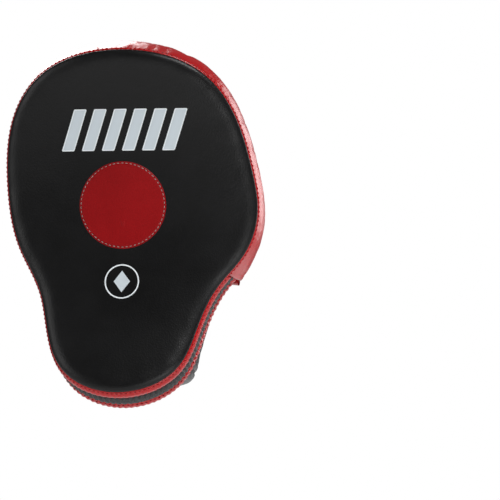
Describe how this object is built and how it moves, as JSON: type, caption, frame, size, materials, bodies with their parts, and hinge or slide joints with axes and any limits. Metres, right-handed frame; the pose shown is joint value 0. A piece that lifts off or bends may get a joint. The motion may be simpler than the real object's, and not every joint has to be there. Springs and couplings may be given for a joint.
{
  "type": "focus mitt",
  "caption": "Bent and padded boxing focus mitt for the right hand, with a finger hood, an elastic wrist end and a folding wrist flap.",
  "frame": {"origin": "middle of the palm surface, where the middle of the palm rests on the pad", "axes": "+Z from the wrist to the fingertips, the striking face looks along -Y, +X is the thumb side"},
  "size_m": [0.1864, 0.113, 0.271],
  "materials": {
    "face_leather": "smooth semi-matt black leather",
    "target_leather": "smooth red leather",
    "wall_leather": "smooth bright red leather",
    "hood_leather": "smooth red leather",
    "cuff_leather": "soft black leather",
    "lining_leather": "thin black lining leather",
    "foam": "closed-cell foam",
    "elastic_webbing": "gathered black elastic webbing",
    "woven_label": "woven white label",
    "hook_tape": "black hook tape",
    "loop_tape": "black loop tape"
  },
  "bodies": {
    "mitt": {"core_foam": "foam", "cuff_thumb_cover": "cuff_leather", "cuff_thumb_foam": "foam", "cuff_thumb_front_binding": "cuff_leather", "cuff_thumb_lining": "lining_leather", "cuff_thumb_rear_binding": "cuff_leather", "face_cover": "face_leather", "finger_wall": "wall_leather", "hood_crown": "hood_leather", "hood_foam": "foam", "hood_hem": "hood_leather", "hood_lining": "lining_leather", "impact_foam": "foam", "label_patch": "woven_label", "loop_patch": "loop_tape", "palm_cover": "lining_leather", "palm_foam": "foam", "pinky_side_panel": "cuff_leather", "pinky_tab": "cuff_leather", "seam_binding": "wall_leather", "target_disc": "target_leather", "thumb_side_panel": "cuff_leather", "wrist_back_strip": "wall_leather", "wrist_elastic": "elastic_webbing", "wrist_front_strip": "wall_leather"},
    "flap_base": {"flap_base_cover": "cuff_leather", "flap_base_foam": "foam", "flap_base_front_binding": "cuff_leather", "flap_base_lining": "lining_leather", "flap_base_rear_binding": "cuff_leather"},
    "flap_tip": {"flap_tip_binding": "cuff_leather", "flap_tip_cover": "cuff_leather", "flap_tip_foam": "foam", "flap_tip_lining": "lining_leather", "hook_patch": "hook_tape"}
  },
  "joints": [
    {"name": "flap_lift", "type": "hinge", "parent": "mitt", "child": "flap_base", "pos_m": [0.02344, 0.04154, -0.0915], "axis": [-0.0625, -0.3079, -0.9494], "range_deg": [0, 80]},
    {"name": "flap_peel", "type": "hinge", "parent": "flap_base", "child": "flap_tip", "pos_m": [-0.03594, 0.03702, -0.09032], "axis": [0.0979, -0.3022, -0.9482], "range_deg": [0, 55]}
  ]
}
